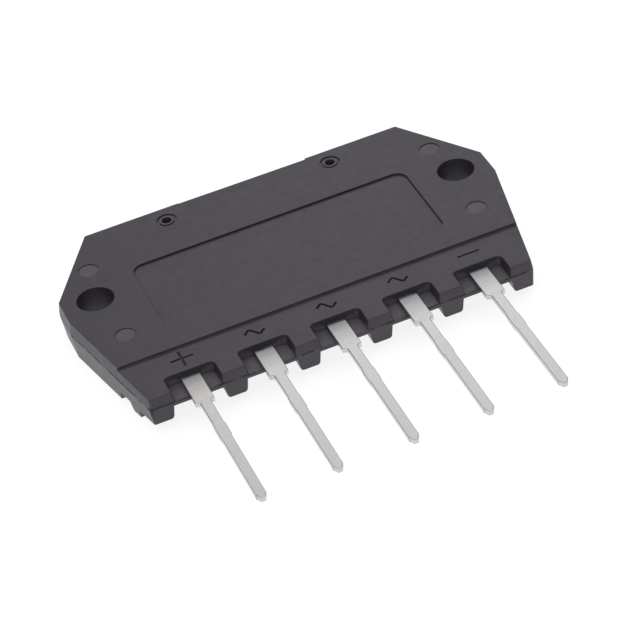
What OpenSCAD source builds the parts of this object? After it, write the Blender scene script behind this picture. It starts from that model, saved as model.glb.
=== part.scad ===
// Three-phase bridge rectifier in a flat moulded package with two screw holes and five flat pins.
// Origin: on the mounting face, midway between the screw holes.
// +X runs along the pin row towards the minus pin, +Y away from the pins, +Z out of the front face.

/* [Package] */
// Thickness from the mounting face to the front face
body_t = 6.0; // [5.6:0.1:7]
// Height of the mould's parting plane, on which the pins lie
split_h = 4.1; // [3.9:0.05:4.3]
// Width of the far edge, opposite the pins
far_w = 46.6; // [42:0.1:50]
// Width of the pin edge
pin_edge_w = 53.3; // [52:0.1:56]
// Distance from the screw holes to the far edge
far_y = 14.2; // [13.6:0.05:17]
// Distance from the screw holes to the pin edge
pin_edge_y = 23.0; // [22.4:0.05:24.4]
// Distance from the screw holes to the side corners towards the far edge
side_far_y = 2.3; // [1:0.1:4]
// Distance from the screw holes to the side corners towards the pins
side_pin_y = 3.4; // [2:0.1:5]
// Radius of the upright corners at the parting plane
corner_r = 0.5; // [0.45:0.05:1.2]
// How far the draft sets the front face in from the parting plane
front_draft = 0.28; // [0.05:0.01:0.35]
// How far the draft sets the mounting face in from the parting plane
back_draft = 0.35; // [0.05:0.01:0.4]

/* [Screw holes] */
// Distance between the screw holes
screw_pitch = 51.9; // [51.4:0.05:53]
// Diameter of each screw hole
screw_d = 5.0; // [4.2:0.1:5.4]
// Moulding between each screw hole and the short upright side beside it
screw_wall = 2.3; // [2:0.05:4]

/* [Front face] */
// Width of the shallow panel
panel_w = 39.4; // [36:0.1:42]
// Height of the shallow panel
panel_h = 14.9; // [12:0.1:16]
// Distance from the screw holes to the panel's far edge
panel_far_y = 3.85; // [2:0.05:6]
// Depth of the panel
panel_deep = 0.3; // [0.1:0.05:0.5]
// Radius of the panel's corners
panel_r = 1.6; // [0.5:0.1:2.5]
// Distance from the screw holes to the step down near the pins
step_y = 15.0; // [14:0.1:16]
// Depth of the step
step_deep = 0.4; // [0.2:0.05:0.6]
// Diameter of the ejector marks
ejector_d = 2.7; // [2:0.1:3.2]
// Depth of the ejector marks
ejector_deep = 0.15; // [0.05:0.01:0.3]
// Distance between the ejector marks of a pair
ejector_pitch = 49.7; // [48:0.1:51]
// Distance from the screw holes to the far pair of ejector marks
ejector_far_y = 6.4; // [5.5:0.1:7.5]
// Distance from the screw holes to the near pair of ejector marks
ejector_pin_y = 9.15; // [7.5:0.05:10.5]
// Distance between the two hold-down holes
hold_pitch = 24.0; // [16:0.1:30]
// Distance from the screw holes to the hold-down holes
hold_y = 11.2; // [10.8:0.05:11.6]
// Diameter of the hold-down holes
hold_d = 1.3; // [0.8:0.05:1.4]
// Diameter of the shallow seat round each hold-down hole
hold_seat_d = 2.7; // [2.4:0.05:3.2]
// Depth of the shallow seat
hold_seat_deep = 0.25; // [0.15:0.05:0.5]
// Wall of the collar that stands round each hold-down hole in its seat
hold_lip_w = 0.4; // [0.3:0.05:0.45]
// Depth of the collar's top below the front face
hold_lip_deep = 0.05; // [0.02:0.01:0.1]
// Length of the mould gate's notch in the far edge
gate_w = 18.6; // [10:0.1:22]
// Depth of the gate's notch below the far edge of the front face
gate_deep = 0.25; // [0.1:0.05:0.4]

/* [Pin edge] */
// Width of the floor of the pocket round each pin
pocket_w = 6.4; // [5.5:0.05:6.8]
// Length of the pockets' floor in from the pin edge
pocket_len = 3.15; // [2.5:0.05:3.6]
// Radius of the pockets' inner corners at the floor
pocket_r = 0.5; // [0.3:0.05:1]
// How far the pockets' walls lean back from the floor up to the front face
pocket_draft = 0.3; // [0.05:0.01:0.4]
// Thickness of the ledge under each pin
ledge_t = 0.65; // [0.5:0.05:1.2]
// Width of the gaps between the tabs, just under the ledges
gap_w = 6.8; // [6:0.05:7]
// How far the gaps between the tabs reach in from the pin edge
gap_len = 3.7; // [3.2:0.05:3.9]
// How far each tab's sides lean in, from the ledge down to the tab's back
tab_lean = 0.25; // [0.05:0.05:0.4]
// Radius of the tabs' lower edges
tab_r = 0.45; // [0.2:0.05:0.7]

/* [Back] */
// Distance from the screw holes to the creepage groove
groove_y = 13.9; // [13.5:0.05:14.3]
// Width of the groove at the mounting face
groove_w = 3.1; // [2.4:0.05:3.3]
// Depth of the groove, and height of the tabs above the mounting face
groove_deep = 1.4; // [1:0.05:1.8]
// How far the groove's walls lean
groove_lean = 0.4; // [0.1:0.05:0.6]
// Width of the support rib beside the groove
rib_w = 1.7; // [1.2:0.05:1.8]

/* [Pins] */
// Distance from pin to pin
pin_pitch = 10.0; // [9.6:0.05:10.15]
// Thickness of the lead frame
pin_t = 0.8; // [0.6:0.05:1]
// Width of the pins at the body
pin_root_w = 2.6; // [2.2:0.05:3]
// Width of the pins' narrow blade
pin_w = 1.4; // [1.1:0.05:1.7]
// Distance from the screw holes to the pins' shoulders
shoulder_y = 25.6; // [24.6:0.05:28]
// Radius in the corner of each shoulder
shoulder_r = 0.4; // [0.2:0.05:0.5]
// Distance from the screw holes to the middle of the swell that the cut-off tie bar leaves
swell_y = 32.0; // [31:0.1:35]
// Length of the swell along the blade
swell_len = 3.2; // [2:0.1:4]
// How far the swell stands out on each side of the blade
swell_out = 0.1; // [0.05:0.01:0.2]
// Length of the swell's tapered ends
swell_taper = 0.6; // [0.3:0.05:0.9]
// Distance from the screw holes to the pins' tips
tip_y = 46.1; // [40:0.1:55]
// Width of the flat at the tip
tip_w = 0.6; // [0.3:0.05:0.9]
// Length of the point
tip_len = 0.8; // [0.4:0.05:1.5]
// Width of the pins inside the body
neck_w = 2.0; // [1.6:0.05:2.2]
// Radius inside each bend
bend_r = 0.5; // [0.3:0.05:0.6]
// Length of the foot soldered to the track
foot_len = 1.7; // [1.2:0.05:2]

/* [Substrate] */
// Thickness of each copper layer
copper_t = 0.3; // [0.2:0.05:0.4]
// Thickness of the ceramic plate
ceramic_t = 0.63; // [0.38:0.01:0.8]
// Moulding between the plate and the groove
plate_wall = 2.5; // [2.2:0.05:3]
// Ceramic left bare round the copper
plate_rim = 0.5; // [0.3:0.05:0.8]
// Ceramic past the centre of the hold-down holes
plate_past_hold = 1.4; // [1:0.05:1.8]
// Bare ceramic between the tracks, measured along the plate's height
track_gap = 0.7; // [0.5:0.05:0.9]
// Bare ceramic between the alternating-current tracks
ac_track_gap = 1.2; // [0.8:0.05:1.6]
// Copper beside the feet
track_margin = 0.2; // [0.1:0.05:0.3]
// Height of the minus track where the bond wires land
minus_band_h = 1.9; // [1.5:0.05:2.1]
// Height of the strip at the end of each alternating-current track where wires land
landing_h = 1.3; // [1.1:0.05:1.5]

/* [Diodes] */
// Side of each square diode die
die_w = 5.8; // [5:0.1:6]
// Thickness of each die
die_t = 0.3; // [0.2:0.01:0.4]
// Gap between a foot and the die beside it
die_gap = 0.4; // [0.2:0.05:0.5]
// Thickness of the solder layers
solder_t = 0.08; // [0.05:0.01:0.15]
// How far the solder shows round a die
solder_margin = 0.1; // [0.05:0.01:0.2]
// Diameter of the bond wires
wire_d = 0.38; // [0.3:0.01:0.5]
// Distance between the wires of one die
wire_pitch = 1.6; // [1.4:0.05:1.9]
// Height of the long wires' arch above the line between their ends
long_rise = 1.6; // [1.2:0.05:2]
// Height of the short wires' arch above the line between their ends
short_rise = 1.3; // [1:0.05:1.6]
// Length of each wire's flattened end
bond_len = 0.9; // [0.7:0.05:1]
// Width of each wire's flattened end
bond_w = 0.56; // [0.5:0.02:0.6]
// Height of each wire's flattened end
bond_h = 0.22; // [0.2:0.01:0.26]

/* [Hidden] */

// Room that a cutting shape reaches past the body
past = 1;
// Segments of the small tapered corner posts and of every true circle
corner_fn = 32;
round_fn = 64;

// Width across the two short upright sides
body_w = screw_pitch + screw_d + 2 * screw_wall;

// Places of the pins along X, from plus to minus
pin_count = 5;
pin_x = [for (i = [0 : pin_count - 1]) (i - (pin_count - 1) / 2) * pin_pitch];
outer_pin_x = pin_x[pin_count - 1];
ac_x = [pin_x[1], pin_x[2], pin_x[3]];

// Corners of the package at the parting plane, on the +X side
corners = [
    [far_w / 2, far_y],
    [body_w / 2, side_far_y],
    [body_w / 2, -side_pin_y],
    [pin_edge_w / 2, -pin_edge_y]
];

// Pin edge
pocket_y = pin_edge_y - pocket_len;
gap_y = pin_edge_y - gap_len;
ledge_h = split_h - ledge_t;
rib_y = groove_y + groove_w;
rib_end_y = rib_y + rib_w;

// Heights of the layers above the mounting face
ceramic_h = copper_t;
track_h = ceramic_h + ceramic_t;
solder_h = track_h + copper_t;
die_h = solder_h + solder_t;
die_top_h = die_h + die_t;

// Ceramic plate and the area that its tracks share
track_half_w = outer_pin_x + neck_w / 2 + track_margin;
plate_half_w = track_half_w + plate_rim;
plate_y0 = plate_wall - groove_y;
plate_y1 = hold_y + plate_past_hold;
track_y0 = plate_y0 + plate_rim;
hold_clearance = 0.35;
track_y1 = hold_y - hold_d / 2 - hold_clearance;
column_w = neck_w + 3 * track_margin;

// Rows on the tracks, from the pins to the far edge
foot_y0 = track_y0 + track_margin;
foot_y1 = foot_y0 + foot_len;
lower_die_y = foot_y1 + die_gap + die_w / 2;
landing_y0 = lower_die_y + die_w / 2;
landing_y1 = landing_y0 + landing_h;
minus_y0 = landing_y1 + track_gap;
minus_y1 = minus_y0 + minus_band_h;
plus_y0 = minus_y1 + track_gap;
upper_die_y = (plus_y0 + track_y1) / 2;

// Each set of wires is shifted to one side, so that the two sets pass each other
wire_shift = wire_pitch / 4;
wire_row = [-wire_pitch, 0, wire_pitch];

// Package

// Plate with drafted sides from the parting plane to a face that is set in by the draft
module drafted_half(height, draft) {
    hull()
        for (side = [-1, 1], c = corners)
            translate([side * (c[0] - corner_r), c[1] - sign(c[1]) * corner_r, 0])
                cylinder(h = height, r1 = corner_r, r2 = corner_r - draft, $fn = corner_fn);
}

// Rectangle with round corners, centred on X and reaching down from its far edge
module round_panel(w, h, r) {
    for (side = [-1, 1], y = [-r, r - h])
        translate([side * (w / 2 - r), y])
            circle(r = r, $fn = round_fn);
    translate([-w / 2, r - h])
        square([w, h - 2 * r]);
    translate([r - w / 2, -h])
        square([w - 2 * r, h]);
}

// Room round one pin, open at the pin edge: its walls lean back from the parting plane to the front face
module pocket() {
    wall_h = body_t - split_h;
    hull()
        for (side = [-1, 1], y = [-pocket_y - pocket_r, -pin_edge_y - past - pocket_r])
            translate([side * (pocket_w / 2 - pocket_r), y, split_h])
                cylinder(h = wall_h, r1 = pocket_r, r2 = pocket_r + pocket_draft, $fn = corner_fn);
}

// Cross section of the gap between two tabs: it widens downwards and rounds the tabs' edges
module gap_section() {
    top = gap_w / 2;
    low = top + tab_lean;
    polygon([[-top, ledge_h], [top, ledge_h], [low, groove_deep], [low, -past], [-low, -past],
        [-low, groove_deep]]);
    for (side = [-1, 1])
        scale([side, 1])
            translate([low, groove_deep])
                difference() {
                    translate([-tab_r / 2, -past - groove_deep])
                        square([tab_r * 3 / 2, tab_r + past + groove_deep]);
                    translate([tab_r, tab_r])
                        circle(r = tab_r, $fn = round_fn);
                }
}

// Section across the back: creepage groove, support rib and raised back of the tabs
module back_section() {
    polygon([[-groove_y, -past], [-groove_y, 0], [-groove_y - groove_lean, groove_deep],
        [-rib_y + groove_lean, groove_deep], [-rib_y, 0], [-rib_y, -past]]);
    polygon([[-rib_end_y, -past], [-rib_end_y, 0], [-rib_end_y - groove_lean, groove_deep],
        [-pin_edge_y - past, groove_deep], [-pin_edge_y - past, -past]]);
}

// Extrudes a section that is drawn in Y and Z along X, centred
module along_x(length) {
    rotate([90, 0, 90])
        translate([0, 0, -length / 2])
            linear_extrude(length)
                children();
}

// Outer form before the lead frame and the substrate take their room
module package_form() {
    difference() {
        union() {
            translate([0, 0, split_h])
                drafted_half(body_t - split_h, front_draft);
            translate([0, 0, split_h])
                mirror([0, 0, 1])
                    drafted_half(split_h, back_draft);
        }
        for (side = [-1, 1])
            translate([side * screw_pitch / 2, 0, -past])
                cylinder(h = body_t + 2 * past, d = screw_d, $fn = round_fn);
        front_face_cuts();
        for (x = pin_x)
            translate([x, 0, 0])
                pocket();
        for (x = pin_x)
            translate([x, -gap_y, 0])
                rotate([90, 0, 0])
                    linear_extrude(gap_len + past)
                        gap_section();
        along_x(body_w)
            back_section();
    }
}

// Panel, step, marks, hold-down holes and gate notch
module front_face_cuts() {
    translate([0, panel_far_y, body_t - panel_deep])
        linear_extrude(past)
            round_panel(panel_w, panel_h, panel_r);
    translate([-body_w / 2, -pin_edge_y - past, body_t - step_deep])
        cube([body_w, pin_edge_y + past - step_y, past]);
    for (side = [-1, 1]) {
        for (y = [ejector_far_y, -ejector_pin_y])
            translate([side * ejector_pitch / 2, y, body_t - ejector_deep])
                cylinder(h = past, d = ejector_d, $fn = round_fn);
        translate([side * hold_pitch / 2, hold_y, 0])
            hold_down();
    }
    translate([-gate_w / 2, far_y - front_draft - gate_deep, split_h])
        cube([gate_w, past, body_t]);
}

// Seat round one hold-down hole, with its collar left standing, and the hole down to the ceramic
module hold_down() {
    difference() {
        translate([0, 0, body_t - hold_seat_deep])
            cylinder(h = past, d = hold_seat_d, $fn = round_fn);
        cylinder(h = body_t - hold_lip_deep, d = hold_d + 2 * hold_lip_w, $fn = round_fn);
    }
    translate([0, 0, track_h])
        cylinder(h = body_t, d = hold_d, $fn = round_fn);
}

module moulded_body() {
    color("#4d4c50")
        difference() {
            package_form();
            for (x = pin_x)
                lead(x);
            substrate();
            for (i = [0 : 2]) {
                die_stack(ac_x[i], upper_die_y);
                die_stack(ac_x[i], lower_die_y);
                upper_wires(ac_x[i]);
                lower_wires(ac_x[i]);
            }
            for (x = pin_x)
                foot_solder(x);
        }
}

// Lead frame

// Quarter of a ring, in the quadrant between the two unit signs
module quarter_ring(r, t, sx, sy) {
    intersection() {
        difference() {
            circle(r = r + t, $fn = round_fn);
            circle(r = r, $fn = round_fn);
        }
        scale([sx, sy])
            square(r + t);
    }
}

// Side view of a lead, in Y and Z: blade, bend down, riser, bend back and foot
module lead_section() {
    riser_y = foot_y0 - bend_r - pin_t;
    blade_end_y = riser_y - bend_r;
    low_bend_h = die_h + pin_t + bend_r;
    translate([-tip_y, split_h])
        square([tip_y + blade_end_y, pin_t]);
    translate([blade_end_y, split_h - bend_r])
        quarter_ring(bend_r, pin_t, 1, 1);
    translate([riser_y, low_bend_h])
        square([pin_t, split_h - bend_r - low_bend_h]);
    translate([foot_y0, low_bend_h])
        quarter_ring(bend_r, pin_t, -1, -1);
    translate([foot_y0, die_h])
        square([foot_len, pin_t]);
}

// Swell on both sides of a blade where the tie bar was cut off
module swell() {
    narrow = pin_w / 2;
    wide = narrow + swell_out;
    end = swell_len / 2;
    flat = end - swell_taper;
    translate([0, -swell_y])
        polygon([[-narrow, -end], [narrow, -end], [wide, -flat], [wide, flat], [narrow, end], [-narrow, end],
            [-wide, flat], [-wide, -flat]]);
}

// Front view of a lead: pointed blade with its swell, shoulders, root and neck
module lead_plan() {
    neck_y = groove_y + groove_w / 2;
    narrow = pin_w / 2;
    fillet_y = -shoulder_y - shoulder_r;
    polygon([[-tip_w / 2, -tip_y], [tip_w / 2, -tip_y], [narrow, tip_len - tip_y], [narrow, -shoulder_y],
        [-narrow, -shoulder_y], [-narrow, tip_len - tip_y]]);
    swell();
    for (side = [-1, 1])
        scale([side, 1])
            difference() {
                translate([0, fillet_y])
                    square([narrow + shoulder_r, shoulder_r]);
                translate([narrow + shoulder_r, fillet_y])
                    circle(r = shoulder_r, $fn = round_fn);
            }
    translate([-pin_root_w / 2, -shoulder_y])
        square([pin_root_w, shoulder_y - neck_y]);
    translate([-neck_w / 2, -neck_y])
        square([neck_w, neck_y + foot_y1]);
}

module lead(x) {
    color("#c9cacc")
        translate([x, 0, 0])
            intersection() {
                along_x(pin_root_w)
                    lead_section();
                linear_extrude(body_t)
                    lead_plan();
            }
}

module foot_solder(x) {
    color("#a9abae")
        translate([x - neck_w / 2, foot_y0, solder_h])
            cube([neck_w, foot_len, solder_t]);
}

// Substrate

module copper_area(x0, y0, x1, y1) {
    translate([x0, y0, track_h])
        cube([x1 - x0, y1 - y0, copper_t]);
}

module back_copper() {
    color("#b87a56")
        translate([-track_half_w, track_y0, 0])
            cube([2 * track_half_w, plate_y1 - plate_rim - track_y0, copper_t]);
}

module ceramic_plate() {
    color("#efeeea")
        translate([-plate_half_w, plate_y0, ceramic_h])
            cube([2 * plate_half_w, plate_y1 - plate_y0, ceramic_t]);
}

module plus_track() {
    color("#b87a56")
        union() {
            copper_area(-track_half_w, track_y0, column_w - track_half_w, track_y1);
            copper_area(-track_half_w, plus_y0, track_half_w, track_y1);
        }
}

module ac_track(x) {
    half = (pin_pitch - ac_track_gap) / 2;
    color("#b87a56")
        copper_area(x - half, track_y0, x + half, landing_y1);
}

module minus_track() {
    color("#b87a56")
        union() {
            copper_area(track_half_w - column_w, track_y0, track_half_w, minus_y1);
            copper_area(column_w + track_gap - track_half_w, minus_y0, track_half_w, minus_y1);
        }
}

module substrate() {
    back_copper();
    ceramic_plate();
    plus_track();
    minus_track();
    for (x = ac_x)
        ac_track(x);
}

// Diodes and bond wires

module die_solder(x, y) {
    side = die_w + 2 * solder_margin;
    color("#a9abae")
        translate([x - side / 2, y - side / 2, solder_h])
            cube([side, side, solder_t]);
}

module die(x, y) {
    color("#5f6670")
        translate([x - die_w / 2, y - die_w / 2, die_h])
            cube([die_w, die_w, die_t]);
}

module die_stack(x, y) {
    die_solder(x, y);
    die(x, y);
}

// Flattened end of a wire, on a surface at height h
module bond_end(y, h) {
    translate([-bond_w / 2, y - bond_len / 2, h])
        cube([bond_w, bond_len, bond_h]);
}

// Wire in the plane of Y and Z that arches from a die's top to a track
module bond_wire(from_y, to_y, rise) {
    from_h = die_top_h + wire_d / 2;
    to_h = solder_h + wire_d / 2;
    half = norm([to_y - from_y, to_h - from_h]) / 2;
    radius = (half * half + rise * rise) / (2 * rise);
    // Unit vectors along the line between the ends and upwards from it
    along = [to_y - from_y, to_h - from_h] / (2 * half);
    up = along[0] > 0 ? [-along[1], along[0]] : [along[1], -along[0]];
    centre = [from_y + to_y, from_h + to_h] / 2 - up * (radius - rise);
    sweep = 2 * asin(half / radius);
    start = atan2(up[1], up[0]) - sweep / 2;
    translate([0, centre[0], centre[1]])
        rotate([90, 0, 90])
            rotate([0, 0, start])
                rotate_extrude(angle = sweep, $fn = round_fn)
                    translate([radius, 0])
                        circle(d = wire_d, $fn = round_fn);
    bond_end(from_y, die_top_h);
    bond_end(to_y, solder_h);
}

// From each die on the plus track to its alternating-current track
module upper_wires(x) {
    color("#d4d5d8")
        for (dx = wire_row)
            translate([x + dx - wire_shift, 0, 0])
                bond_wire(upper_die_y, landing_y0 + landing_h / 2, long_rise);
}

// From each die on an alternating-current track to the minus track
module lower_wires(x) {
    color("#d4d5d8")
        for (dx = wire_row)
            translate([x + dx + wire_shift, 0, 0])
                bond_wire(lower_die_y, minus_y0 + minus_band_h / 2, short_rise);
}

moulded_body();
lead(pin_x[0]);  // plus_pin
lead(pin_x[1]);  // ac_pin_1
lead(pin_x[2]);  // ac_pin_2
lead(pin_x[3]);  // ac_pin_3
lead(pin_x[4]);  // minus_pin
back_copper();
ceramic_plate();
plus_track();
ac_track(ac_x[0]);  // ac_track_1
ac_track(ac_x[1]);  // ac_track_2
ac_track(ac_x[2]);  // ac_track_3
minus_track();
foot_solder(pin_x[0]);  // plus_pin_solder
foot_solder(pin_x[1]);  // ac_pin_solder_1
foot_solder(pin_x[2]);  // ac_pin_solder_2
foot_solder(pin_x[3]);  // ac_pin_solder_3
foot_solder(pin_x[4]);  // minus_pin_solder
die_solder(ac_x[0], upper_die_y);  // plus_diode_solder_1
die_solder(ac_x[1], upper_die_y);  // plus_diode_solder_2
die_solder(ac_x[2], upper_die_y);  // plus_diode_solder_3
die_solder(ac_x[0], lower_die_y);  // minus_diode_solder_1
die_solder(ac_x[1], lower_die_y);  // minus_diode_solder_2
die_solder(ac_x[2], lower_die_y);  // minus_diode_solder_3
die(ac_x[0], upper_die_y);  // plus_diode_1
die(ac_x[1], upper_die_y);  // plus_diode_2
die(ac_x[2], upper_die_y);  // plus_diode_3
die(ac_x[0], lower_die_y);  // minus_diode_1
die(ac_x[1], lower_die_y);  // minus_diode_2
die(ac_x[2], lower_die_y);  // minus_diode_3
upper_wires(ac_x[0]);  // plus_diode_wires_1
upper_wires(ac_x[1]);  // plus_diode_wires_2
upper_wires(ac_x[2]);  // plus_diode_wires_3
lower_wires(ac_x[0]);  // minus_diode_wires_1
lower_wires(ac_x[1]);  // minus_diode_wires_2
lower_wires(ac_x[2]);  // minus_diode_wires_3
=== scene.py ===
"""Finishes a moulded three-phase bridge rectifier, lights it and sets up the camera.

The frame holds the rectifier's solids. It lies on its mounting face: +X runs along the pin row towards
the minus pin, +Y away from the pins and +Z out of the front face. All lengths are in metres.
"""

import math

import bmesh
import bpy
from mathutils import Matrix, Vector, noise
from mathutils.bvhtree import BVHTree


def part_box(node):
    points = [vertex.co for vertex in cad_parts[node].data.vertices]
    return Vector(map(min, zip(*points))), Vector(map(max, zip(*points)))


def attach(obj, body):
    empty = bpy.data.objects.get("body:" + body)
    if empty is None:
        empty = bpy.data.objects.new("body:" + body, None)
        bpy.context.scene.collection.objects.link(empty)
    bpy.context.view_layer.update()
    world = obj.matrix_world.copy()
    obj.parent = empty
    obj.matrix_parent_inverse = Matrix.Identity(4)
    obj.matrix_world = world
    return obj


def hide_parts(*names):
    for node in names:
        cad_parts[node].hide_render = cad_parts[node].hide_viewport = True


bl_info = {
    "name": "Bridge Rectifier Finish",
    "version": (1, 0, 0),
    "blender": (4, 5, 0),
    "location": "3D View > Sidebar > Rectifier",
    "description": "Finishes a moulded three-phase bridge rectifier and sets up its studio",
    "category": "Object",
}

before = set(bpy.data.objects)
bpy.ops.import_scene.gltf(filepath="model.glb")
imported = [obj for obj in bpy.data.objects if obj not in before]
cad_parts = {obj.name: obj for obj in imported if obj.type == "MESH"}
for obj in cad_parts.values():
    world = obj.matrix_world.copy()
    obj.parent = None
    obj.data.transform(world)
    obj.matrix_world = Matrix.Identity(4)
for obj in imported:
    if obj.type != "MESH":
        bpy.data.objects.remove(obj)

BODY = "root"
MM = 0.001
MOULDING = "moulded_body"
PINS = ["plus_pin", "ac_pin_1", "ac_pin_2", "ac_pin_3", "minus_pin"]
TRACKS = ["plus_track", "ac_track_1", "ac_track_2", "ac_track_3", "minus_track"]

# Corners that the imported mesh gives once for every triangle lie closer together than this
SAME_POINT = 0.002 * MM
# Neighbouring faces that turn by less than this angle are one flat face
FLAT = 0.004
# Places that differ by less than this along an axis are level with each other
LEVEL = 0.01 * MM
# A face looks along an axis, and an edge runs along it, where this share of its direction does
ALONG = 0.99
# Outer edges that turn by more than this are rounded
SHARP_EDGE = math.radians(40)
# Edges of the finished moulding and pins that turn by more than this keep their crease
MOULDING_CREASE, PIN_CREASE = math.radians(46), math.radians(50)
# Sizes of the coarse and the fine unevenness of the parting line and of the gate's broken face
COARSE, FINE = 0.9 * MM, 0.3 * MM
# Most of a noise lies between these values
NOISE_LOW, NOISE_HIGH = 0.3, 0.7

# Material slots of the moulding
PLAIN, PRESSED_AND_LIT, SHADE_WALLS = range(3)
# Refraction of the epoxy, how much rougher its pressed-and-lit and shaded-wall finishes are, and the lower
# gloss of the shaded walls, which paints shade on them
EPOXY_IOR, ROUGHER, SHADE_WALL_GLOSS = 1.55, 0.1, 0.27
# Depths below the front face of the collars, ejector marks, hold-down seats and pocket floors, which all get
# the lighter pressed finish; on the pocket floors it is painted light against their shade
MARK_AND_LIT_DEPTHS = (0.05 * MM, 0.15 * MM, 0.25 * MM, 1.9 * MM)
# These three pick the walls of recesses that get painted shade
# A wall of a recess has its middle less far below the front face than this, and the parting line farther
RECESS_DEPTH = 1.7 * MM
# The normal of a wall rises or falls by less than this
WALL_RISE = 0.6
# Looking out and down by this, a recess's wall sees the rest of the recess, and an outer wall sees nothing
LOOK_DOWN = Vector((0, 0, -0.6))

# Lowest and highest Y and Z, in millimetres, of the room in the moulding for the circuit and for the leads
SEALED_ROOMS = ((-12, 13, -0.01, 5), (-19.96, 13, 4.05, 4.95))
# Half the width of both, in millimetres
SEALED_HALF_W = 22.5
# Highest Y of the tabs' ends, and the width below which a ledge on their sides is levelled
TABS_Y, THIN_LEDGE = -19 * MM, 0.06 * MM
# Lowest Y of the gate notch, and how exactly its wall faces along Y
GATE_Y, GATE_FACING = 13 * MM, 0.9999
# Plain margin of the gate's broken face, and the size of its facets
GATE_MARGIN, GATE_FACET = 0.12 * MM, 0.15 * MM
# The edge where the mould halves meet turns by an angle between these
PARTING_TURN = (math.radians(4), math.radians(30))
# Length of the pieces that the parting line is split into
PARTING_STEP = 0.25 * MM
# Share of its greatest depth that the parting line has at least and as a rule, and how much it varies
PARTING_LEAST, PARTING_USUAL, PARTING_VARIES = 0.1, 0.65, 1.3
# Steps that each bend of an engraved stroke takes
BEND_STEPS = 8

# Middle and half width along Y of the painted reflection of the dark moulding on the pins' roots, and of the
# scuffs where the tie bars were cut off
ROOT_REFLECTION_BAND, SCUFF_BAND = (-20.0 * MM, 5.0 * MM), (-25.2 * MM, 0.9 * MM)
# How strong the painted reflection of the dark moulding is on the pins' roots, from the shoulders up to the
# moulding
ROOT_REFLECTION_STRENGTH = [(0.0, 0.0), (0.2, 0.22), (0.48, 0.45), (0.6, 0.6), (0.68, 0.77), (0.84, 0.95)]

# Places of the lamp behind the rectifier and of the one overhead
KEY_PLACE, FILL_PLACE = (0.10, 0.26, 0.195), (-0.25, -0.05, 0.75)
# Brightness of the surround by the height of its direction, from the horizon up
SURROUND = [(0.0, 0.16), (0.3, 0.22), (0.62, 0.46), (1.0, 1.0)]
# Half the side of the floor, and how far it lies below the mounting face
FLOOR_HALF, FLOOR_DROP = 2.0, 0.02 * MM
# Grey that shows the shadow where the floor is seen or mirrored, and the glow that makes it white
SHADOW_GREY, FLOOR_GLOW = 0.25, 0.86
# Width of the camera's sensor in millimetres, and the nearest and farthest that it sees
SENSOR_W, CLIP_START, CLIP_END = 36, 0.01, 20


# Sizes and colours


class MouldingSettings(bpy.types.PropertyGroup):
    edge_radius: bpy.props.FloatProperty(
        name="Edge Radius", description="Rounding of the moulding's outer edges",
        default=0.1 * MM, unit="LENGTH",
    )
    parting_w: bpy.props.FloatProperty(
        name="Parting Line Width", description="Width of the line where the mould halves meet",
        default=0.28 * MM, unit="LENGTH",
    )
    parting_deep: bpy.props.FloatProperty(
        name="Parting Line Depth", description="Greatest depth of the parting line",
        default=0.3 * MM, unit="LENGTH",
    )
    gate_rough: bpy.props.FloatProperty(
        name="Gate Break", description="Height of the relief where the moulding was broken off its gate",
        default=0.15 * MM, unit="LENGTH",
    )
    sign_w: bpy.props.FloatProperty(
        name="Sign Stroke", description="Width of the engraved signs' strokes",
        default=0.36 * MM, unit="LENGTH",
    )
    sign_deep: bpy.props.FloatProperty(
        name="Sign Depth", description="Depth of the engraved signs",
        default=0.28 * MM, unit="LENGTH",
    )
    sign_len: bpy.props.FloatProperty(
        name="Sign Length", description="Length of the plus sign's and the minus sign's strokes",
        default=3.1 * MM, unit="LENGTH",
    )
    sign_y: bpy.props.FloatProperty(
        name="Sign Place", description="Distance from the screw holes to the row of signs",
        default=17.2 * MM, unit="LENGTH",
    )
    sign_ground: bpy.props.FloatProperty(
        name="Sign Ground", description="Depth of the step that carries the signs",
        default=0.4 * MM, unit="LENGTH",
    )
    wave_leg: bpy.props.FloatProperty(
        name="Wave Legs", description="Length of the alternating-current signs' rising ends",
        default=0.85 * MM, unit="LENGTH",
    )
    wave_run: bpy.props.FloatProperty(
        name="Wave Middle", description="Length of the alternating-current signs' falling middle",
        default=1.32 * MM, unit="LENGTH",
    )
    wave_bend: bpy.props.FloatProperty(
        name="Wave Bend", description="Radius of the alternating-current signs' bends",
        default=0.25 * MM, unit="LENGTH",
    )
    colour: bpy.props.FloatVectorProperty(
        name="Colour", description="Colour of the moulded epoxy", subtype="COLOR", size=4,
        default=(0.042, 0.0345, 0.0475, 1.0),
    )
    # Painted shade: the walls that face the rest of their recess, and the signs' walls, get this colour with
    # less gloss and more roughness
    shade_wall_colour: bpy.props.FloatVectorProperty(
        name="Shaded Walls", description="Colour of the walls of the recesses and signs",
        subtype="COLOR", size=4, default=(0.042, 0.0345, 0.0475, 1.0),
    )
    # Lighter pressed finish: real on the pin marks and the broken gate, painted light on the pocket floors
    # against their shade
    mark_and_lit_colour: bpy.props.FloatVectorProperty(
        name="Pin Marks and Lit Floors", description="Colour of the epoxy where the mould's pins pressed on it",
        subtype="COLOR", size=4, default=(0.083, 0.074, 0.088, 1.0),
    )
    roughness: bpy.props.FloatProperty(
        name="Roughness", description="Roughness of the moulded epoxy", default=0.4, subtype="FACTOR"
    )


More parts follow.
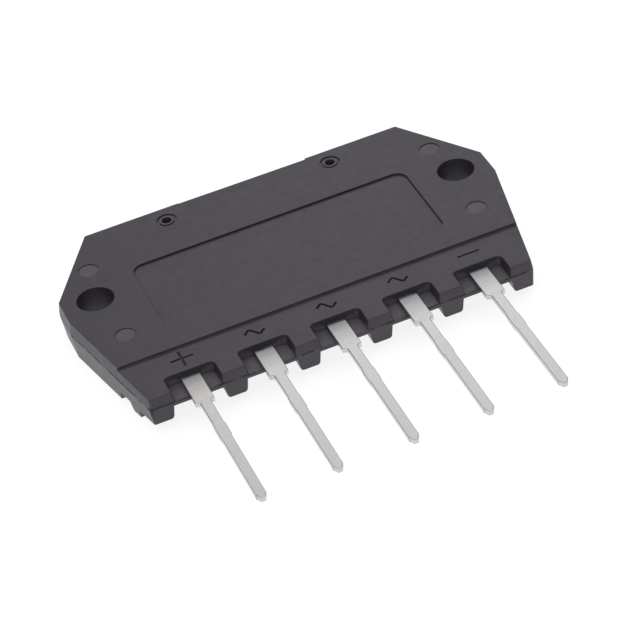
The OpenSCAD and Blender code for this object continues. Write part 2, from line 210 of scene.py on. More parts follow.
class PinSettings(bpy.types.PropertyGroup):
    edge_radius: bpy.props.FloatProperty(
        name="Edge Radius", description="Rounding of the stamped edges",
        default=0.11 * MM, unit="LENGTH",
    )
    thickness: bpy.props.FloatProperty(
        name="Thickness", description="Thickness of the lead frame",
        default=0.8 * MM, unit="LENGTH",
    )
    colour: bpy.props.FloatVectorProperty(
        name="Tin", description="Colour of the tin plating", subtype="COLOR", size=4,
        default=(0.615, 0.61, 0.617, 1.0),
    )
    warm_colour: bpy.props.FloatVectorProperty(
        name="Warm Tint", description="Tint of the duller parts of the plating",
        subtype="COLOR", size=4, default=(0.98, 0.955, 0.915, 1.0),
    )
    # Painted reflection: the dark moulding mirrored on the plating next to it, painted as a darker tint
    root_reflection_colour: bpy.props.FloatVectorProperty(
        name="Root Reflection", description="Tint of the dull plating next to the moulding",
        subtype="COLOR", size=4, default=(0.47, 0.47, 0.485, 1.0),
    )
    copper_colour: bpy.props.FloatVectorProperty(
        name="Bare Copper", description="Colour where the tie bars were cut off",
        subtype="COLOR", size=4, default=(0.56, 0.50, 0.38, 1.0),
    )
    roughness: bpy.props.FloatProperty(
        name="Roughness", description="Roughness of the tin plating", default=0.25, subtype="FACTOR"
    )


class InsideSettings(bpy.types.PropertyGroup):
    copper_colour: bpy.props.FloatVectorProperty(
        name="Copper", description="Colour of the bonded copper", subtype="COLOR", size=4,
        default=(0.66, 0.37, 0.25, 1.0),
    )
    ceramic_colour: bpy.props.FloatVectorProperty(
        name="Ceramic", description="Colour of the alumina plate", subtype="COLOR", size=4,
        default=(0.80, 0.79, 0.76, 1.0),
    )
    solder_colour: bpy.props.FloatVectorProperty(
        name="Solder", description="Colour of the solder", subtype="COLOR", size=4,
        default=(0.56, 0.57, 0.58, 1.0),
    )
    die_colour: bpy.props.FloatVectorProperty(
        name="Die", description="Colour of the diode dice", subtype="COLOR", size=4,
        default=(0.16, 0.18, 0.21, 1.0),
    )
    wire_colour: bpy.props.FloatVectorProperty(
        name="Wire", description="Colour of the aluminium bond wires", subtype="COLOR", size=4,
        default=(0.80, 0.80, 0.82, 1.0),
    )


class StudioSettings(bpy.types.PropertyGroup):
    lens: bpy.props.FloatProperty(
        name="Lens", description="Focal length in millimetres", default=156.94, unit="CAMERA"
    )
    target: bpy.props.FloatVectorProperty(
        name="Target", description="Point that the camera looks at",
        subtype="TRANSLATION", unit="LENGTH", size=3, default=(-1.967 * MM, -19.998 * MM, 6.0 * MM),
    )
    distance: bpy.props.FloatProperty(
        name="Distance", description="Distance from the camera to the target",
        default=354.88 * MM, unit="LENGTH",
    )
    azimuth: bpy.props.FloatProperty(
        name="Azimuth", description="Turn of the camera towards the plus side",
        default=math.radians(15.283), subtype="ANGLE",
    )
    elevation: bpy.props.FloatProperty(
        name="Elevation", description="Height of the camera above the floor as an angle",
        default=math.radians(38.484), subtype="ANGLE",
    )
    roll: bpy.props.FloatProperty(
        name="Roll", description="Turn of the camera about its own axis",
        default=math.radians(10.523), subtype="ANGLE",
    )
    floor_colour: bpy.props.FloatVectorProperty(
        name="Floor", description="Colour of the floor", subtype="COLOR", size=4,
        default=(0.86, 0.86, 0.87, 1.0),
    )
    key_size: bpy.props.FloatProperty(
        name="Key Size", description="Side of the square lamp behind the rectifier",
        default=0.16, unit="LENGTH",
    )
    key_power: bpy.props.FloatProperty(
        name="Key Light", description="Power of the lamp behind the rectifier",
        default=0.052, unit="POWER",
    )
    fill_size: bpy.props.FloatProperty(
        name="Fill Size", description="Side of the square lamp overhead",
        default=1.0, unit="LENGTH",
    )
    fill_power: bpy.props.FloatProperty(
        name="Fill Light", description="Power of the lamp overhead",
        default=1.0, unit="POWER",
    )
    sky_strength: bpy.props.FloatProperty(
        name="Surround", description="Strength of the soft light all round", default=1.12
    )


class RectifierSettings(bpy.types.PropertyGroup):
    moulding: bpy.props.PointerProperty(
        name="Moulding", description="The moulded body", type=MouldingSettings
    )
    pins: bpy.props.PointerProperty(name="Pins", description="The five pins", type=PinSettings)
    inside: bpy.props.PointerProperty(
        name="Inside", description="What the moulding holds", type=InsideSettings
    )
    studio: bpy.props.PointerProperty(
        name="Studio", description="Floor, lamps and camera", type=StudioSettings
    )


# Meshes


def link_mesh(name, bm):
    """Makes an object at the origin from a bmesh, whose places are in the frame."""
    mesh = bpy.data.meshes.new(name)
    bm.to_mesh(mesh)
    bm.free()
    piece = bpy.data.objects.new(name, mesh)
    bpy.context.scene.collection.objects.link(piece)
    return piece


def merged_copy(node):
    """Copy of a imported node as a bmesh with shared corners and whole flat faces."""
    bm = bmesh.new()
    bm.from_mesh(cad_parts[node].data)
    bmesh.ops.remove_doubles(bm, verts=bm.verts, dist=SAME_POINT)
    bmesh.ops.dissolve_limit(
        bm, angle_limit=FLAT, use_dissolve_boundaries=False, verts=bm.verts, edges=bm.edges,
        delimit={"NORMAL"},
    )
    return bm


def round_edges(bm, edges, radius, segments):
    """Rounds the edges without letting the shortest of them hold the radius back."""
    return bmesh.ops.bevel(
        bm, geom=edges, offset=radius, offset_type="OFFSET", segments=segments, profile=0.5,
        affect="EDGES", clamp_overlap=False, material=-1, miter_outer="SHARP", miter_inner="SHARP",
    )


def uneven(place, fine_share):
    """Height of a worn or broken surface at a place: coarse noise and a share of fine noise."""
    return noise.noise(place / COARSE) + fine_share * noise.noise(place / FINE)


def shade(piece, crease):
    """Smooth faces with creases above the angle, and flat faces kept flat beside rounded edges."""
    piece.data.shade_smooth()
    piece.data.set_sharp_from_angle(angle=crease)
    weighted = piece.modifiers.new("Flat Faces", "WEIGHTED_NORMAL")
    weighted.keep_sharp = True


# Materials


def set_stops(node, stops):
    """Gives a colour ramp its stops, each a place with a colour or a grey."""
    elements = node.color_ramp.elements
    while len(elements) < len(stops):
        elements.new(0.5)
    for element, (place, colour) in zip(elements, stops):
        element.position = place
        element.color = colour if isinstance(colour, tuple) else (colour, colour, colour, 1.0)


def tinted(colour, amount):
    """The colour made lighter or darker."""
    return tuple(c * amount for c in colour[:3]) + (1.0,)


class Finish:
    """A procedural material in the making: a Principled BSDF whose patterns lie on Object coordinates."""

    def __init__(self, name, metallic=0.0):
        self.material = bpy.data.materials.new(name)
        self.material.use_nodes = True
        self.tree = self.material.node_tree
        self.shader = self.tree.nodes["Principled BSDF"]
        self.shader.inputs["Metallic"].default_value = metallic
        self.place = self.node("ShaderNodeTexCoord").outputs["Object"]

    def node(self, kind, **settings):
        """A new node of a kind, with its settings."""
        made = self.tree.nodes.new(kind)
        for key, value in settings.items():
            setattr(made, key, value)
        return made

    def feed(self, value, socket):
        """Links a socket to another one, or sets its number or colour."""
        if isinstance(value, bpy.types.NodeSocket):
            self.tree.links.new(value, socket)
        else:
            socket.default_value = value

    def stretched(self, scale):
        """Object coordinates, stretched where the scale is below 1."""
        mapping = self.node("ShaderNodeMapping")
        mapping.inputs["Scale"].default_value = scale
        self.feed(self.place, mapping.inputs["Vector"])
        return mapping.outputs["Vector"]

    def grain(self, size, detail=2.0, vector=None):
        """Noise whose features are about this long, from 0 to 1."""
        made = self.node("ShaderNodeTexNoise")
        made.inputs["Scale"].default_value = 1 / size
        made.inputs["Detail"].default_value = detail
        self.feed(vector or self.place, made.inputs["Vector"])
        return made.outputs["Fac"]

    def ramp(self, value, stops):
        """Colours or greys at places along a value."""
        made = self.node("ShaderNodeValToRGB")
        set_stops(made, stops)
        self.feed(value, made.inputs["Fac"])
        return made.outputs["Color"]

    def tones(self, value, colour, low, high):
        """The colour, made darker or lighter from the low to the high values of a noise."""
        return self.ramp(value, [(NOISE_LOW, tinted(colour, low)), (NOISE_HIGH, tinted(colour, high))])

    def spread(self, value, low, high):
        """Maps a noise to a range."""
        made = self.node("ShaderNodeMapRange")
        made.inputs["From Min"].default_value = NOISE_LOW
        made.inputs["From Max"].default_value = NOISE_HIGH
        made.inputs["To Min"].default_value = low
        made.inputs["To Max"].default_value = high
        self.feed(value, made.inputs["Value"])
        return made.outputs["Result"]

    def maths(self, operation, first, second):
        """Result of one step of arithmetic with two values, each a number or a socket."""
        made = self.node("ShaderNodeMath", operation=operation)
        self.feed(first, made.inputs[0])
        self.feed(second, made.inputs[1])
        return made.outputs["Value"]

    def mix(self, factor, first, second, blend="MIX"):
        """Blend of two, each a colour or a socket."""
        made = self.node("ShaderNodeMix", data_type="RGBA", blend_type=blend)
        one, two = [socket for socket in made.inputs if socket.type == "RGBA"]
        self.feed(factor, made.inputs["Factor"])
        self.feed(first, one)
        self.feed(second, two)
        return [socket for socket in made.outputs if socket.type == "RGBA"][0]

    def tint(self, first, colour):
        """A colour socket multiplied by a plain colour."""
        return self.mix(1.0, first, tuple(colour), blend="MULTIPLY")

    def band(self, centre, half):
        """1 at a place along Y, falling to 0 at half the band's width from it."""
        split = self.node("ShaderNodeSeparateXYZ")
        self.feed(self.place, split.inputs["Vector"])
        away = self.maths("ABSOLUTE", self.maths("SUBTRACT", split.outputs["Y"], centre), 0.0)
        return self.maths("SUBTRACT", 1.0, self.maths("MINIMUM", self.maths("DIVIDE", away, half), 1.0))

    def bump(self, height, depth):
        """Relief whose full height is the depth."""
        made = self.node("ShaderNodeBump")
        made.inputs["Distance"].default_value = depth
        self.feed(height, made.inputs["Height"])
        self.feed(made.outputs["Normal"], self.shader.inputs["Normal"])

    def colour(self, socket):
        """Colours the surface."""
        self.feed(socket, self.shader.inputs["Base Color"])

    def rough(self, socket):
        """Gives the surface its roughness."""
        self.feed(socket, self.shader.inputs["Roughness"])


def moulded_epoxy(name, colour, roughness, gloss=0.5):
    """Matt black epoxy: fine grain, faint clouds and slightly polished patches."""
    finish = Finish(name)
    finish.colour(finish.tones(finish.grain(3.5 * MM, detail=4.0), colour, 0.92, 1.08))
    patches = finish.grain(1.2 * MM, detail=5.0)
    finish.rough(finish.spread(patches, roughness - 0.04, roughness + 0.05))
    finish.bump(finish.grain(0.12 * MM, detail=3.0), 0.004 * MM)
    finish.shader.inputs["IOR"].default_value = EPOXY_IOR
    finish.shader.inputs["Specular IOR Level"].default_value = gloss
    return finish.material


def tin_plate(settings):
    """Tin over copper: drawing marks, dull clouds, a painted reflection of the dark moulding on the roots,
    and scuffs where the tie bars were cut off.
    """
    finish = Finish("Tin Plating", metallic=1.0)
    tin = tuple(settings.colour)
    streaks = finish.grain(0.16 * MM, detail=4.0, vector=finish.stretched((1, 0.06, 1)))
    clouds = finish.grain(1.3 * MM, detail=5.0)
    both = finish.maths("ADD", finish.maths("MULTIPLY", streaks, 0.5), finish.maths("MULTIPLY", clouds, 0.5))
    plate = finish.ramp(both, [(0.33, tinted(tin, 0.92)), (0.5, tin), (0.67, tinted(tin, 1.04))])
    warm = finish.ramp(finish.grain(6 * MM), [(0.42, 0.0), (0.62, 0.55)])
    plate = finish.mix(warm, plate, finish.tint(plate, settings.warm_colour))
    # Painted reflection of the dark moulding, darkening the roots towards it
    root = finish.ramp(finish.band(*ROOT_REFLECTION_BAND), ROOT_REFLECTION_STRENGTH)
    plate = finish.mix(root, plate, finish.tint(plate, settings.root_reflection_colour))
    bare = finish.ramp(finish.grain(0.45 * MM, detail=5.0), [(0.46, 0.0), (0.6, 0.65)])
    scuffs = finish.maths("MULTIPLY", finish.band(*SCUFF_BAND), bare)
    finish.colour(finish.mix(scuffs, plate, tuple(settings.copper_colour)))
    finish.rough(finish.spread(both, settings.roughness - 0.06, settings.roughness + 0.1))
    finish.bump(finish.grain(1.1 * MM, detail=1.0), 0.006 * MM)
    return finish.material


def bonded_copper(settings):
    """Matt copper with faint etching clouds and a few darker tarnished places."""
    finish = Finish("Bonded Copper", metallic=1.0)
    copper = tuple(settings.copper_colour)
    tarnish = finish.grain(2.6 * MM, detail=5.0)
    stops = [(0.3, tinted(copper, 0.86)), (0.55, copper), (0.75, tinted(copper, 1.08))]
    finish.colour(finish.ramp(tarnish, stops))
    finish.rough(finish.spread(finish.grain(0.6 * MM, detail=4.0), 0.34, 0.5))
    finish.bump(finish.grain(0.1 * MM), 0.004 * MM)
    return finish.material


def fired_alumina(settings):
    """Fired white ceramic with a fine tooth."""
    finish = Finish("Fired Alumina")
    finish.colour(finish.tones(finish.grain(1.5 * MM, detail=3.0), settings.ceramic_colour, 0.96, 1.0))
    finish.rough(finish.spread(finish.grain(0.3 * MM), 0.42, 0.55))
    finish.bump(finish.grain(0.08 * MM), 0.003 * MM)
    return finish.material


def soft_solder(settings):
    """Dull solder with a cloudy skin."""
    finish = Finish("Soft Solder", metallic=1.0)
    finish.colour(finish.tones(finish.grain(0.5 * MM, detail=4.0), settings.solder_colour, 0.85, 1.0))
    finish.rough(finish.spread(finish.grain(0.2 * MM), 0.32, 0.5))
    return finish.material


def metallised_silicon(settings):
    """Silicon dice with a thin metal face."""
    finish = Finish("Metallised Silicon", metallic=0.6)
    finish.colour(finish.tones(finish.grain(0.8 * MM, detail=3.0), settings.die_colour, 0.9, 1.1))
    finish.rough(finish.spread(finish.grain(0.25 * MM), 0.22, 0.34))
    return finish.material


def drawn_aluminium(settings):
    """Bond wire with marks along its length."""
    finish = Finish("Drawn Aluminium", metallic=1.0)
    marks = finish.grain(0.04 * MM, vector=finish.stretched((1, 0.1, 0.1)))
    finish.colour(finish.tones(marks, settings.wire_colour, 0.9, 1.0))
    finish.rough(finish.spread(marks, 0.25, 0.38))
    return finish.material


def dress(nodes, material):
    """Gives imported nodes, which stay as they are, a material."""
    for name in nodes:
        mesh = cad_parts[name].data
        mesh.materials.clear()
        mesh.materials.append(material)


# Moulded body


def sealed_inside(face):
    """True for the walls of the room that the leads, the substrate and the wires take in the moulding."""
    for vert in face.verts:
        x, y, z = vert.co / MM
        in_a_room = any(y0 < y < y1 and z0 < z < z1 for y0, y1, z0, z1 in SEALED_ROOMS)
        if abs(x) > SEALED_HALF_W or not in_a_room:
            return False
    return True


def outer_edges(bm, low, high):
    """Edges of two outer faces that stand out by an angle between the two given."""
    inside = {face for face in bm.faces if sealed_inside(face)}
    return [
        edge for edge in bm.edges
        if len(edge.link_faces) == 2 and not inside.intersection(edge.link_faces)
        and low < edge.calc_face_angle_signed(0.0) < high
    ]


def level_tab_corners(bm):
    """Merges the hair-thin ledges above the tabs' rounded edges, so that these run into their sides."""
    thin = [
        edge for edge in bm.edges
        if edge.calc_length() < THIN_LEDGE and all(vert.co.y < TABS_Y for vert in edge.verts)
        and abs(edge.verts[0].co.x - edge.verts[1].co.x) > ALONG * edge.calc_length()
    ]
    bmesh.ops.collapse(bm, edges=thin, uvs=False)


def break_gate(bm, settings):
    """Gives the wall of the gate notch, the only upright one at the far edge, the relief of a broken face."""
    walls = [
        face for face in bm.faces if face.normal.y > GATE_FACING and face.calc_center_median().y > GATE_Y
    ]
    if len(walls) != 1:
        raise RuntimeError("the gate notch has no single wall")
    bmesh.ops.inset_region(bm, faces=walls, thickness=GATE_MARGIN, use_even_offset=True)
    wall = walls[0]
    plane = wall.calc_center_median().y

    def split(edges, axis):
        """Cuts the edges that run along an axis into facets, and returns all corners in the wall's plane."""
        along = [edge for edge in edges if abs((edge.verts[0].co - edge.verts[1].co)[axis]) > LEVEL]
        cuts = round(max(edge.calc_length() for edge in along) / GATE_FACET) - 1
        bmesh.ops.subdivide_edges(bm, edges=along, cuts=cuts, use_grid_fill=True)
        return {vert for vert in bm.verts if abs(vert.co.y - plane) < 0.1 * LEVEL}

    across, up = 0, 2
    corners = split(wall.edges, across)
    corners = split([edge for edge in bm.edges if corners.issuperset(edge.verts)], up)
    for vert in corners:
        if len(vert.link_faces) == 4 and all(face.normal.y > ALONG for face in vert.link_faces):
            relief = uneven(vert.co, fine_share=0.7)
            vert.co.y += settings.gate_rough * max(-1.0, min(1.0, relief))
    for face in bm.faces:
        if corners.issuperset(face.verts):
            face.material_index = PRESSED_AND_LIT


def cut_parting_line(bm, height, settings):
    """Presses a fine line of uneven depth into the edge where the mould halves meet."""

    def line():
        return [
            edge for edge in outer_edges(bm, *PARTING_TURN)
            if all(abs(vert.co.z - height) < LEVEL for vert in edge.verts)
        ]

    for edge in line():
        cuts = int(edge.calc_length() / PARTING_STEP)
        if cuts:
            bmesh.ops.subdivide_edges(bm, edges=[edge], cuts=cuts)
    made = round_edges(bm, line(), settings.parting_w / 2, segments=2)
    bm.normal_update()
    for vert in made["verts"]:
        on_line = abs(vert.co.z - height) < 0.1 * settings.parting_w
        if on_line:
            wear = uneven(vert.co, fine_share=0.5)
            share = min(1.0, max(PARTING_LEAST, PARTING_USUAL + PARTING_VARIES * wear))
            vert.co -= Vector((vert.normal.x, vert.normal.y, 0)) * settings.parting_deep * share


def sweep_stroke(heading, parts, settings):
    """Cutter for an engraved stroke that starts at the origin, and the place where the stroke ends.

    Each straight part is (length, 0), and each bend (radius, angle).
    """
    half, deep = settings.sign_w / 2, settings.sign_deep
    wall_foot, floor_half = -deep * 0.4, half * 0.6
    section = [
        (-half, deep), (half, deep), (half, wall_foot), (floor_half, -deep), (-floor_half, -deep),
        (-half, wall_foot),
    ]
    bm = bmesh.new()
    loop = [bm.verts.new((x, 0, z)) for x, z in section]
    loop += [bm.edges.new(pair) for pair in zip(loop, loop[1:] + loop[:1])]
    turned = Matrix.Rotation(heading - math.pi / 2, 3, "Z")
    bmesh.ops.rotate(bm, verts=bm.verts, cent=(0, 0, 0), matrix=turned)
    spot = Vector((0, 0, 0))
    for size, turn in parts:
        ahead = Vector((math.cos(heading), math.sin(heading), 0))
        if turn:
            hinge = spot + Vector((-ahead.y, ahead.x, 0)) * math.copysign(size, turn)
            made = bmesh.ops.spin(
                bm, geom=loop, cent=hinge, axis=(0, 0, 1), dvec=(0, 0, 0), angle=turn, steps=BEND_STEPS,
                use_merge=False, use_normal_flip=False, use_duplicate=False,
            )
            loop = made["geom_last"]
            spot = hinge + Matrix.Rotation(turn, 3, "Z") @ (spot - hinge)
            heading += turn
        else:
            rim = [item for item in loop if isinstance(item, bmesh.types.BMEdge)]
            made = bmesh.ops.extrude_edge_only(bm, edges=rim)["geom"]
            moved = [item for item in made if isinstance(item, bmesh.types.BMVert)]
            bmesh.ops.translate(bm, verts=moved, vec=ahead * size)
            ends = set(moved)
            loop = [
                item for item in made
                if item in ends or (isinstance(item, bmesh.types.BMEdge) and ends.issuperset(item.verts))
            ]
            spot = spot + ahead * size
    bmesh.ops.holes_fill(bm, edges=[edge for edge in bm.edges if edge.is_boundary], sides=0)
    bmesh.ops.recalc_face_normals(bm, faces=bm.faces)
    return bm, spot


def sign_cutters(settings, ground, materials):
    """Cutters for the signs, centred on their pins: one for all lying strokes, one for the plus's upright."""
    plus, *phases, minus = [sum(corner.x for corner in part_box(pin)) / 2 for pin in PINS]
    bar = [(settings.sign_len, 0)]
    rise, fall = math.radians(45), math.radians(100)
    wave = [
        (settings.wave_leg, 0), (settings.wave_bend, -fall), (settings.wave_run, 0),
        (settings.wave_bend, fall), (settings.wave_leg, 0),
    ]
    lying = [(plus, 0.0, bar), (minus, 0.0, bar)] + [(place, rise, wave) for place in phases]
    upright = [(plus, math.pi / 2, bar)]
    cutters = []
    for strokes in (lying, upright):
        joined = bmesh.new()
        for place, heading, parts in strokes:
            bm, end = sweep_stroke(heading, parts, settings)
            middle = Vector((place, -settings.sign_y, ground))
            bmesh.ops.translate(bm, verts=bm.verts, vec=middle - end / 2)
            stroke = bpy.data.meshes.new("stroke")
            bm.to_mesh(stroke)
            bm.free()
            joined.from_mesh(stroke)
            bpy.data.meshes.remove(stroke)
        # The signs' walls get the less glossy finish of painted shade
        for face in joined.faces:
            face.material_index = SHADE_WALLS
        cutter = link_mesh("sign_cutter", joined)
        for material in materials:
            cutter.data.materials.append(material)
        cutters.append(cutter)
    return cutters


def cut_away(piece, cutters):
    """Takes the cutters out of the piece's mesh and removes them."""
    for cutter in cutters:
        cut = piece.modifiers.new("Cut", "BOOLEAN")
        cut.operation = "DIFFERENCE"
        cut.solver = "EXACT"
        cut.object = cutter
    bpy.context.view_layer.update()
    shaped = bpy.data.meshes.new_from_object(piece.evaluated_get(bpy.context.evaluated_depsgraph_get()))
    piece.modifiers.clear()
    plain = piece.data
    piece.data = shaped
    bpy.data.meshes.remove(plain)
    for cutter in cutters:
        mesh = cutter.data
        bpy.data.objects.remove(cutter)
        bpy.data.meshes.remove(mesh)


def choose_finishes(mesh, top):
    """Gives the marks of the mould's pins and the pocket floors the lighter pressed finish, which is painted
    light on the floors, and the walls that face the rest of their recess the less glossy finish that paints
    shade on them.
    """
    tree = BVHTree.FromPolygons(
        [vert.co for vert in mesh.vertices], [tuple(face.vertices) for face in mesh.polygons]
    )
    for face in mesh.polygons:
        depth = top - face.center.z
        # Pin marks, and pocket floors painted lighter against their shade
        if face.normal.z > ALONG and any(abs(depth - level) < LEVEL for level in MARK_AND_LIT_DEPTHS):
            face.material_index = PRESSED_AND_LIT
        # Walls that face the rest of their recess get painted shade: less gloss
        elif face.material_index == PLAIN and depth < RECESS_DEPTH and abs(face.normal.z) < WALL_RISE:
            start = face.center + face.normal * LEVEL
            if tree.ray_cast(start, face.normal + LOOK_DOWN)[0] is not None:
                face.material_index = SHADE_WALLS


class RECTIFIER_OT_mould_body(bpy.types.Operator):
    """Breaks the gate off the moulding, rounds its edges, presses its parting line and engraves its signs"""

    bl_idname = "rectifier.mould_body"
    bl_label = "Moulded Body"
    bl_options = {"REGISTER", "UNDO"}

    def execute(self, context):
        settings = context.scene.rectifier.moulding
        rougher = settings.roughness + ROUGHER
        materials = [
            moulded_epoxy("Moulded Epoxy", settings.colour, settings.roughness),
            # Lighter on the pin marks, and painted light on the pocket floors
            moulded_epoxy("Pressed and Lit Epoxy", settings.mark_and_lit_colour, rougher),
            # Less gloss on the recess and sign walls paints shade on them
            moulded_epoxy("Painted Shade Epoxy", settings.shade_wall_colour, rougher, gloss=SHADE_WALL_GLOSS),
        ]
        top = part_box(MOULDING)[1].z
        bm = merged_copy(MOULDING)
        for face in bm.faces:
            face.material_index = PLAIN
        level_tab_corners(bm)
        break_gate(bm, settings)
        round_edges(bm, outer_edges(bm, SHARP_EDGE, math.pi), settings.edge_radius, segments=2)
        pin_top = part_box(PINS[0])[1].z
        cut_parting_line(bm, pin_top - context.scene.rectifier.pins.thickness, settings)
        piece = link_mesh("moulding", bm)
        for material in materials:
            piece.data.materials.append(material)
        cut_away(piece, sign_cutters(settings, top - settings.sign_ground, materials))
        if not piece.data.polygons:
            raise RuntimeError("the moulding has no faces after its signs are cut")
        choose_finishes(piece.data, top)
        shade(piece, MOULDING_CREASE)
        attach(piece, BODY)
        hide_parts(MOULDING)
        return {"FINISHED"}


# Pins


class RECTIFIER_OT_stamp_pins(bpy.types.Operator):
    """Rounds the stamped edges of the five pins and gives them their tin plating"""

    bl_idname = "rectifier.stamp_pins"
    bl_label = "Stamped Pins"
    bl_options = {"REGISTER", "UNDO"}

    def execute(self, context):
        settings = context.scene.rectifier.pins
        plating = tin_plate(settings)
        for node in PINS:
            bm = merged_copy(node)
            edges = [edge for edge in bm.edges if edge.calc_face_angle_signed(0.0) > SHARP_EDGE]
            round_edges(bm, edges, settings.edge_radius, segments=3)
            piece = link_mesh("stamped_" + node, bm)
            piece.data.materials.append(plating)
            shade(piece, PIN_CREASE)
            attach(piece, BODY)
            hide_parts(node)
        return {"FINISHED"}


# Inside


class RECTIFIER_OT_bond_substrate(bpy.types.Operator):
    """Gives the ceramic plate and the copper bonded to it their finishes"""

    bl_idname = "rectifier.bond_substrate"
    bl_label = "Substrate"
    bl_options = {"REGISTER", "UNDO"}

    def execute(self, context):
        settings = context.scene.rectifier.inside
        dress(["back_copper"] + TRACKS, bonded_copper(settings))
        dress(["ceramic_plate"], fired_alumina(settings))
        return {"FINISHED"}


class RECTIFIER_OT_mount_diodes(bpy.types.Operator):
    """Gives the dice, their bond wires and all solder their finishes"""

    bl_idname = "rectifier.mount_diodes"
    bl_label = "Diodes and Wires"
    bl_options = {"REGISTER", "UNDO"}

    def execute(self, context):
        settings = context.scene.rectifier.inside
        names = sorted(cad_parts)
        wires = [name for name in names if "wires" in name]
        solder = [name for name in names if "solder" in name]
        dice = [name for name in names if "diode" in name and name not in wires + solder]
        if len(wires) != len(dice):
            raise RuntimeError("every die needs its own set of wires")
        dress(wires, drawn_aluminium(settings))
        dress(solder, soft_solder(settings))
        dress(dice, metallised_silicon(settings))
        return {"FINISHED"}


# Studio


def studio_floor(settings):
    """White where it is seen or mirrored, with a soft shadow, and a plain pale floor for all other light."""
    material = bpy.data.materials.new("Studio Floor")
    material.use_nodes = True
    tree = material.node_tree
    tree.nodes.clear()
    paths = tree.nodes.new("ShaderNodeLightPath")
    seen = paths.outputs["Is Camera Ray"]
    for ray in ("Is Glossy Ray", "Is Transmission Ray"):
        either = tree.nodes.new("ShaderNodeMath")
        either.operation = "MAXIMUM"
        tree.links.new(seen, either.inputs[0])
        tree.links.new(paths.outputs[ray], either.inputs[1])
        seen = either.outputs["Value"]
    pale = tree.nodes.new("ShaderNodeBsdfDiffuse")
    pale.inputs["Color"].default_value = tuple(settings.floor_colour)
    shaded = tree.nodes.new("ShaderNodeBsdfDiffuse")
    shaded.inputs["Color"].default_value = (SHADOW_GREY, SHADOW_GREY, SHADOW_GREY, 1.0)
    glow = tree.nodes.new("ShaderNodeEmission")
    glow.inputs["Strength"].default_value = FLOOR_GLOW
    white = tree.nodes.new("ShaderNodeAddShader")
    choice = tree.nodes.new("ShaderNodeMixShader")
    output = tree.nodes.new("ShaderNodeOutputMaterial")
    tree.links.new(shaded.outputs["BSDF"], white.inputs[0])
    tree.links.new(glow.outputs["Emission"], white.inputs[1])
    tree.links.new(seen, choice.inputs["Fac"])
    tree.links.new(pale.outputs["BSDF"], choice.inputs[1])
    tree.links.new(white.outputs["Shader"], choice.inputs[2])
    tree.links.new(choice.outputs["Shader"], output.inputs["Surface"])
    return material


def soft_surround(settings):
    """World that is bright overhead and dim towards the horizon."""
    world = bpy.data.worlds.new("Soft Surround")
    world.use_nodes = True
    tree = world.node_tree
    background = tree.nodes["Background"]
    place = tree.nodes.new("ShaderNodeTexCoord")
    split = tree.nodes.new("ShaderNodeSeparateXYZ")
    ramp = tree.nodes.new("ShaderNodeValToRGB")
    set_stops(ramp, SURROUND)
    tree.links.new(place.outputs["Generated"], split.inputs["Vector"])
    tree.links.new(split.outputs["Z"], ramp.inputs["Fac"])
    tree.links.new(ramp.outputs["Color"], background.inputs["Color"])
    background.inputs["Strength"].default_value = settings.sky_strength
    return world


def hang_lamp(name, place, target, power, size):
    """Square soft lamp that faces the target."""
    light = bpy.data.lights.new(name, "AREA")
    light.shape = "SQUARE"
    light.size = size
    light.energy = power
    lamp = bpy.data.objects.new(name, light)
    lamp.location = place
    lamp.rotation_euler = (target - Vector(place)).to_track_quat("-Z", "Y").to_euler()
    bpy.context.scene.collection.objects.link(lamp)


def camera_place(settings, target):
    """Place and turn of the camera: it looks at the target from its azimuth and elevation, and then rolls."""
    flat = math.cos(settings.elevation)
    back = Vector((
        -math.sin(settings.azimuth) * flat, -math.cos(settings.azimuth) * flat, math.sin(settings.elevation)
    ))
    right = Vector((math.cos(settings.azimuth), -math.sin(settings.azimuth), 0))
    right = Matrix.Rotation(-settings.roll, 3, back) @ right
    turn = Matrix((right, back.cross(right), back)).transposed()
    return Matrix.Translation(target + back * settings.distance) @ turn.to_4x4()


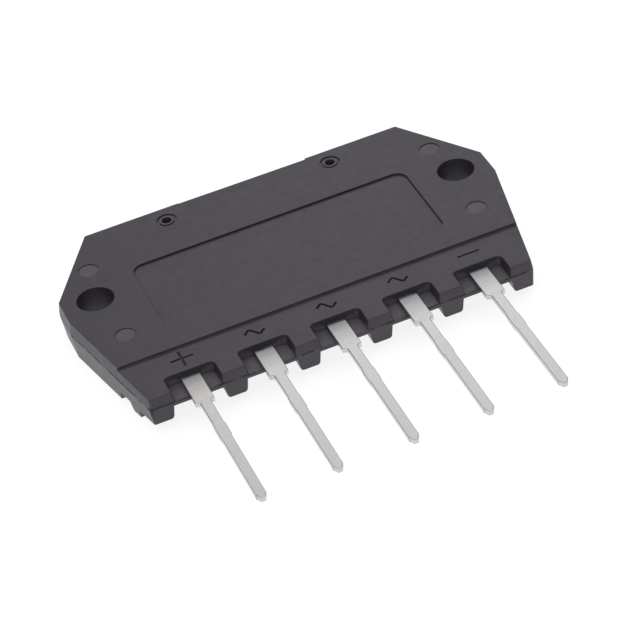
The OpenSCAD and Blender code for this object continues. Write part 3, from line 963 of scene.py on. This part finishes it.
class RECTIFIER_OT_set_studio(bpy.types.Operator):
    """Builds the floor, the soft lamps, the surround and the camera"""

    bl_idname = "rectifier.set_studio"
    bl_label = "Studio"
    bl_options = {"REGISTER", "UNDO"}

    def execute(self, context):
        scene = context.scene
        settings = scene.rectifier.studio
        bm = bmesh.new()
        bmesh.ops.create_grid(bm, x_segments=1, y_segments=1, size=FLOOR_HALF)
        bmesh.ops.translate(bm, verts=bm.verts, vec=(0, 0, -FLOOR_DROP))
        floor = link_mesh("floor", bm)
        floor.data.materials.append(studio_floor(settings))
        target = Vector(settings.target)
        hang_lamp("key", KEY_PLACE, target, settings.key_power, settings.key_size)
        hang_lamp("fill", FILL_PLACE, target, settings.fill_power, settings.fill_size)
        scene.world = soft_surround(settings)
        lens = bpy.data.cameras.new("camera")
        lens.lens = settings.lens
        lens.sensor_width = SENSOR_W
        lens.clip_start = CLIP_START
        lens.clip_end = CLIP_END
        camera = bpy.data.objects.new("camera", lens)
        scene.collection.objects.link(camera)
        camera.matrix_world = camera_place(settings, target)
        scene.camera = camera
        scene.view_settings.view_transform = "Standard"
        return {"FINISHED"}


OPERATORS = [
    RECTIFIER_OT_mould_body,
    RECTIFIER_OT_stamp_pins,
    RECTIFIER_OT_bond_substrate,
    RECTIFIER_OT_mount_diodes,
    RECTIFIER_OT_set_studio,
]


class VIEW3D_PT_rectifier(bpy.types.Panel):
    """Finishing steps of the rectifier and the sizes and colours that they use"""

    bl_label = "Bridge Rectifier"
    bl_space_type = "VIEW_3D"
    bl_region_type = "UI"
    bl_category = "Rectifier"

    def draw(self, context):
        layout = self.layout
        layout.use_property_split = True
        for operator in OPERATORS:
            layout.operator(operator.bl_idname)
        settings = context.scene.rectifier
        for group in (settings.moulding, settings.pins, settings.inside, settings.studio):
            box = layout.box()
            for name in group.__annotations__:
                box.prop(group, name)


CLASSES = [MouldingSettings, PinSettings, InsideSettings, StudioSettings, RectifierSettings]
CLASSES += OPERATORS + [VIEW3D_PT_rectifier]


def register():
    for cls in CLASSES:
        bpy.utils.register_class(cls)
    bpy.types.Scene.rectifier = bpy.props.PointerProperty(type=RectifierSettings)


def unregister():
    del bpy.types.Scene.rectifier
    for cls in reversed(CLASSES):
        bpy.utils.unregister_class(cls)


def main():
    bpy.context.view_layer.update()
    register()
    bpy.ops.rectifier.mould_body()
    bpy.ops.rectifier.stamp_pins()
    bpy.ops.rectifier.bond_substrate()
    bpy.ops.rectifier.mount_diodes()
    bpy.ops.rectifier.set_studio()
    bpy.context.view_layer.update()


if __name__ == "__main__":
    main()
